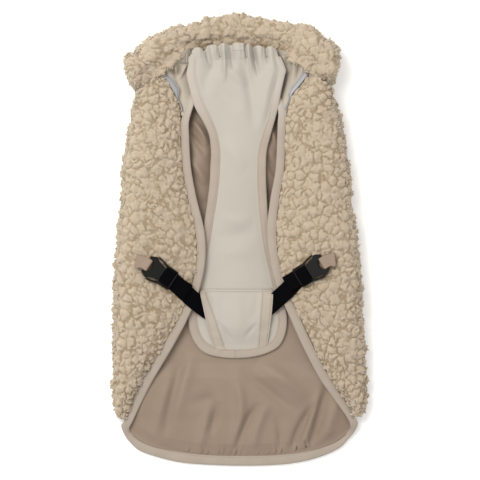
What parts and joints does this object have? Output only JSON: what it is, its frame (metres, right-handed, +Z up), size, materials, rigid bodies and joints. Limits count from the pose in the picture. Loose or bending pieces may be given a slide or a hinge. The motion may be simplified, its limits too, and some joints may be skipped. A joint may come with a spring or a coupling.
{
  "type": "dog winter coat",
  "caption": "Dog winter coat of curly sherpa fleece with a rolled collar, leg openings, a lined back, a belly panel and a buckled webbing strap, lying flat with its belly side up.",
  "frame": {"origin": "middle of the coat's outline, on the surface that it lies on", "axes": "+X across the coat to the picture's right, +Y from the hem to the neck, +Z up from the surface"},
  "size_m": [0.2807, 0.5004, 0.0482],
  "materials": {
    "curly_fleece": "curly sherpa pile",
    "taupe_nylon": "plain woven nylon lining, soft sheen",
    "cream_softshell": "smooth softshell, matte",
    "beige_tape": "folded woven binding, matte",
    "silver_reflective": "grey reflective trim",
    "navy_webbing": "ribbed webbing",
    "taupe_webbing": "ribbed webbing",
    "black_acetal": "moulded, fine texture"
  },
  "bodies": {
    "root": {"shell_back": "curly_fleece", "shell_left": "curly_fleece", "shell_right": "curly_fleece", "collar": "curly_fleece", "lining_back": "taupe_nylon", "lining_left": "taupe_nylon", "lining_right": "taupe_nylon", "belly_panel": "cream_softshell", "neck_casing": "cream_softshell", "neck_lap": "cream_softshell", "facing_left": "cream_softshell", "facing_right": "cream_softshell", "strap_tunnel": "cream_softshell", "binding_left": "beige_tape", "binding_right": "beige_tape", "binding_hem": "beige_tape", "belly_binding": "beige_tape", "reflective_left": "silver_reflective", "reflective_right": "silver_reflective", "belly_strap": "navy_webbing", "strap_tail_left": "navy_webbing", "strap_tail_right": "navy_webbing", "loop_left": "taupe_webbing", "loop_right": "taupe_webbing", "buckle_socket_left": "black_acetal", "buckle_socket_right": "black_acetal", "buckle_plug_left": "black_acetal", "buckle_plug_right": "black_acetal"}
  },
  "joints": []
}
